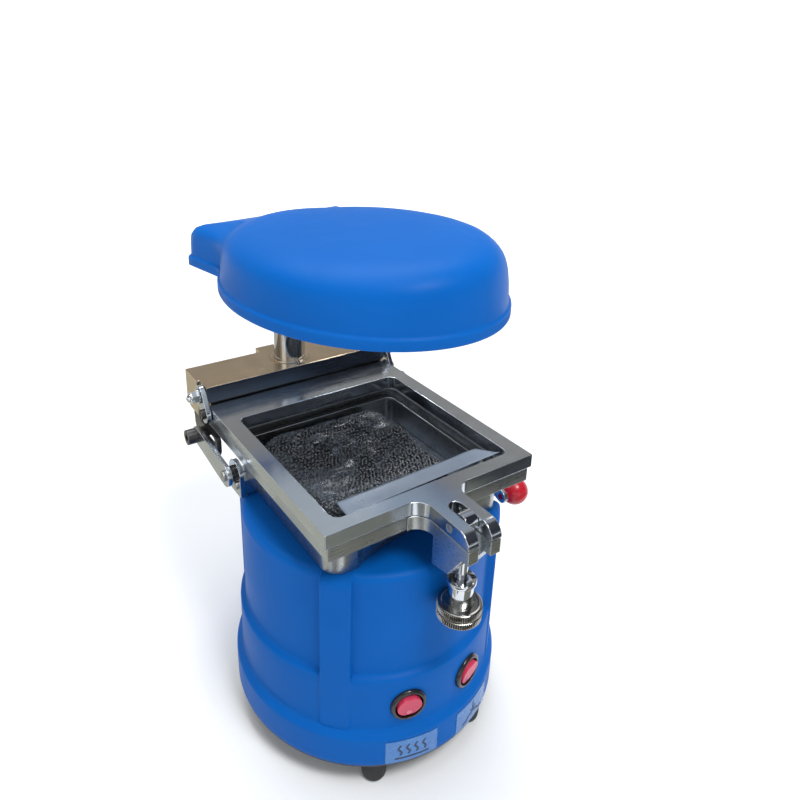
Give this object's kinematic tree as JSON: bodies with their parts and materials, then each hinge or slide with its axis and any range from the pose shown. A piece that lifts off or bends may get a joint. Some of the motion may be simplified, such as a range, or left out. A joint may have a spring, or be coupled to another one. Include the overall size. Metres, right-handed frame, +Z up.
{
  "type": "dental vacuum former",
  "caption": "Bench vacuum former with round blue housing, clamped square frames on a sliding carriage, lift lever and a swivelling heater hood.",
  "frame": {"origin": "on the bench, under the axis of the round housing and the centre of the square frame opening", "axes": "+Z up, front with the clamp faces -Y, lift lever on +X"},
  "size_m": [0.185, 0.2354, 0.3048],
  "materials": {
    "blue_paint": "satin",
    "polished_steel": "gloss",
    "chrome": "gloss",
    "steel_zinc": "satin",
    "dark_steel": "satin",
    "aluminium": "satin",
    "rubber": "matte",
    "black_plastic": "gloss",
    "black_matte": "matte",
    "red_gloss": "gloss",
    "label_film": "satin",
    "bead_film": "gloss",
    "ceramic": "matte",
    "heater_wire": "matte"
  },
  "bodies": {
    "base": {"drum_housing": "blue_paint", "base_plate": "dark_steel", "rubber_feet": "rubber", "foot_screws": "steel_zinc", "rear_pillar": "blue_paint", "pillar_screws": "steel_zinc", "vacuum_table": "polished_steel", "perforated_plate": "polished_steel", "table_seal": "rubber", "bead_bag": "bead_film", "fan_casing": "aluminium", "vacuum_motor": "dark_steel", "impeller": "aluminium", "motor_ring": "black_matte", "air_duct": "rubber", "wiring_block": "ceramic", "post": "chrome", "post_base_clamp": "dark_steel", "post_collar": "steel_zinc", "bracket_left": "polished_steel", "bracket_right": "polished_steel", "bracket_screws": "steel_zinc", "pivot_screw_left": "steel_zinc", "pivot_screw_right": "steel_zinc", "pivot_spacers": "black_plastic", "switch_bezel_heating": "black_plastic", "switch_bezel_molding": "black_plastic", "label_heating": "label_film", "label_molding": "label_film", "power_inlet": "black_matte", "fuse_holder": "black_matte"},
    "carriage": {"carriage_block": "polished_steel", "slot_plates": "dark_steel", "slide_bush": "dark_steel", "lower_frame": "polished_steel", "lower_seal": "rubber", "carriage_screws": "dark_steel", "hinge_bolts": "chrome"},
    "top_frame": {"upper_frame": "polished_steel", "upper_seal": "rubber", "hinge_ears": "polished_steel", "ear_screws": "dark_steel", "cross_pin": "steel_zinc"},
    "clamp_arm": {"swing_bolt": "chrome"},
    "clamp_slider": {"clamp_sleeve": "chrome"},
    "clamp_nut": {"clamp_knob": "chrome"},
    "lever": {"lift_lever": "polished_steel", "lever_pin": "dark_steel", "ball_knob": "red_gloss"},
    "link": {"left_link": "polished_steel", "link_pin": "dark_steel"},
    "hood": {"hood_shell": "blue_paint", "hood_hub": "steel_zinc", "hub_screws": "steel_zinc", "heater_reflector": "aluminium", "heater_dish": "ceramic", "heater_coil": "heater_wire", "heater_terminal": "ceramic"},
    "switch_heating": {"rocker_heating": "red_gloss"},
    "switch_molding": {"rocker_molding": "red_gloss"}
  },
  "joints": [
    {"name": "hood_swivel", "type": "hinge", "parent": "base", "child": "hood", "pos_m": [0, 0.102, 0.28], "axis": [0, 0, 1], "range_deg": [-100, 90]},
    {"name": "lift_lever_turn", "type": "hinge", "parent": "base", "child": "lever", "pos_m": [0.0815, 0.04, 0.158], "axis": [1, 0, 0], "range_deg": [0, 40]},
    {"name": "frame_lift", "type": "slide", "parent": "base", "child": "carriage", "axis": [0, 0, 1], "range_m": [0, 0.0302]},
    {"name": "left_link_turn", "type": "hinge", "parent": "base", "child": "link", "pos_m": [-0.075, 0.04, 0.158], "axis": [1, 0, 0], "range_deg": [0, 40.1]},
    {"name": "frame_open", "type": "hinge", "parent": "carriage", "child": "top_frame", "pos_m": [0, 0.0885, 0.1885], "axis": [-1, 0, 0], "range_deg": [0, 24]},
    {"name": "clamp_swing", "type": "hinge", "parent": "top_frame", "child": "clamp_arm", "pos_m": [0, -0.0895, 0.179], "axis": [-1, 0, 0], "range_deg": [0, 112]},
    {"name": "clamp_travel", "type": "slide", "parent": "clamp_arm", "child": "clamp_slider", "axis": [0, 0, 1], "range_m": [-0.0026, 0.0039]},
    {"name": "clamp_turn", "type": "hinge", "parent": "clamp_slider", "child": "clamp_nut", "pos_m": [0, -0.0895, 0.1243], "axis": [0, 0, 1], "range_deg": [-720, 1080]},
    {"name": "heating_switch", "type": "hinge", "parent": "base", "child": "switch_heating", "pos_m": [-0.02064, -0.07543, 0.0565], "axis": [-0.9646, 0.2639, 0], "range_deg": [0, 12]},
    {"name": "molding_switch", "type": "hinge", "parent": "base", "child": "switch_molding", "pos_m": [0.02064, -0.07543, 0.0565], "axis": [-0.9646, -0.2639, 0], "range_deg": [0, 12]}
  ],
  "couplings": [
    {"joint": "frame_lift", "follows": "lift_lever_turn", "m_per_rad": 0.043},
    {"joint": "left_link_turn", "follows": "lift_lever_turn", "ratio": 1},
    {"joint": "clamp_swing", "follows": "frame_open", "ratio": 4.6},
    {"joint": "clamp_travel", "follows": "clamp_turn", "m_per_rad": 0.00019894}
  ]
}
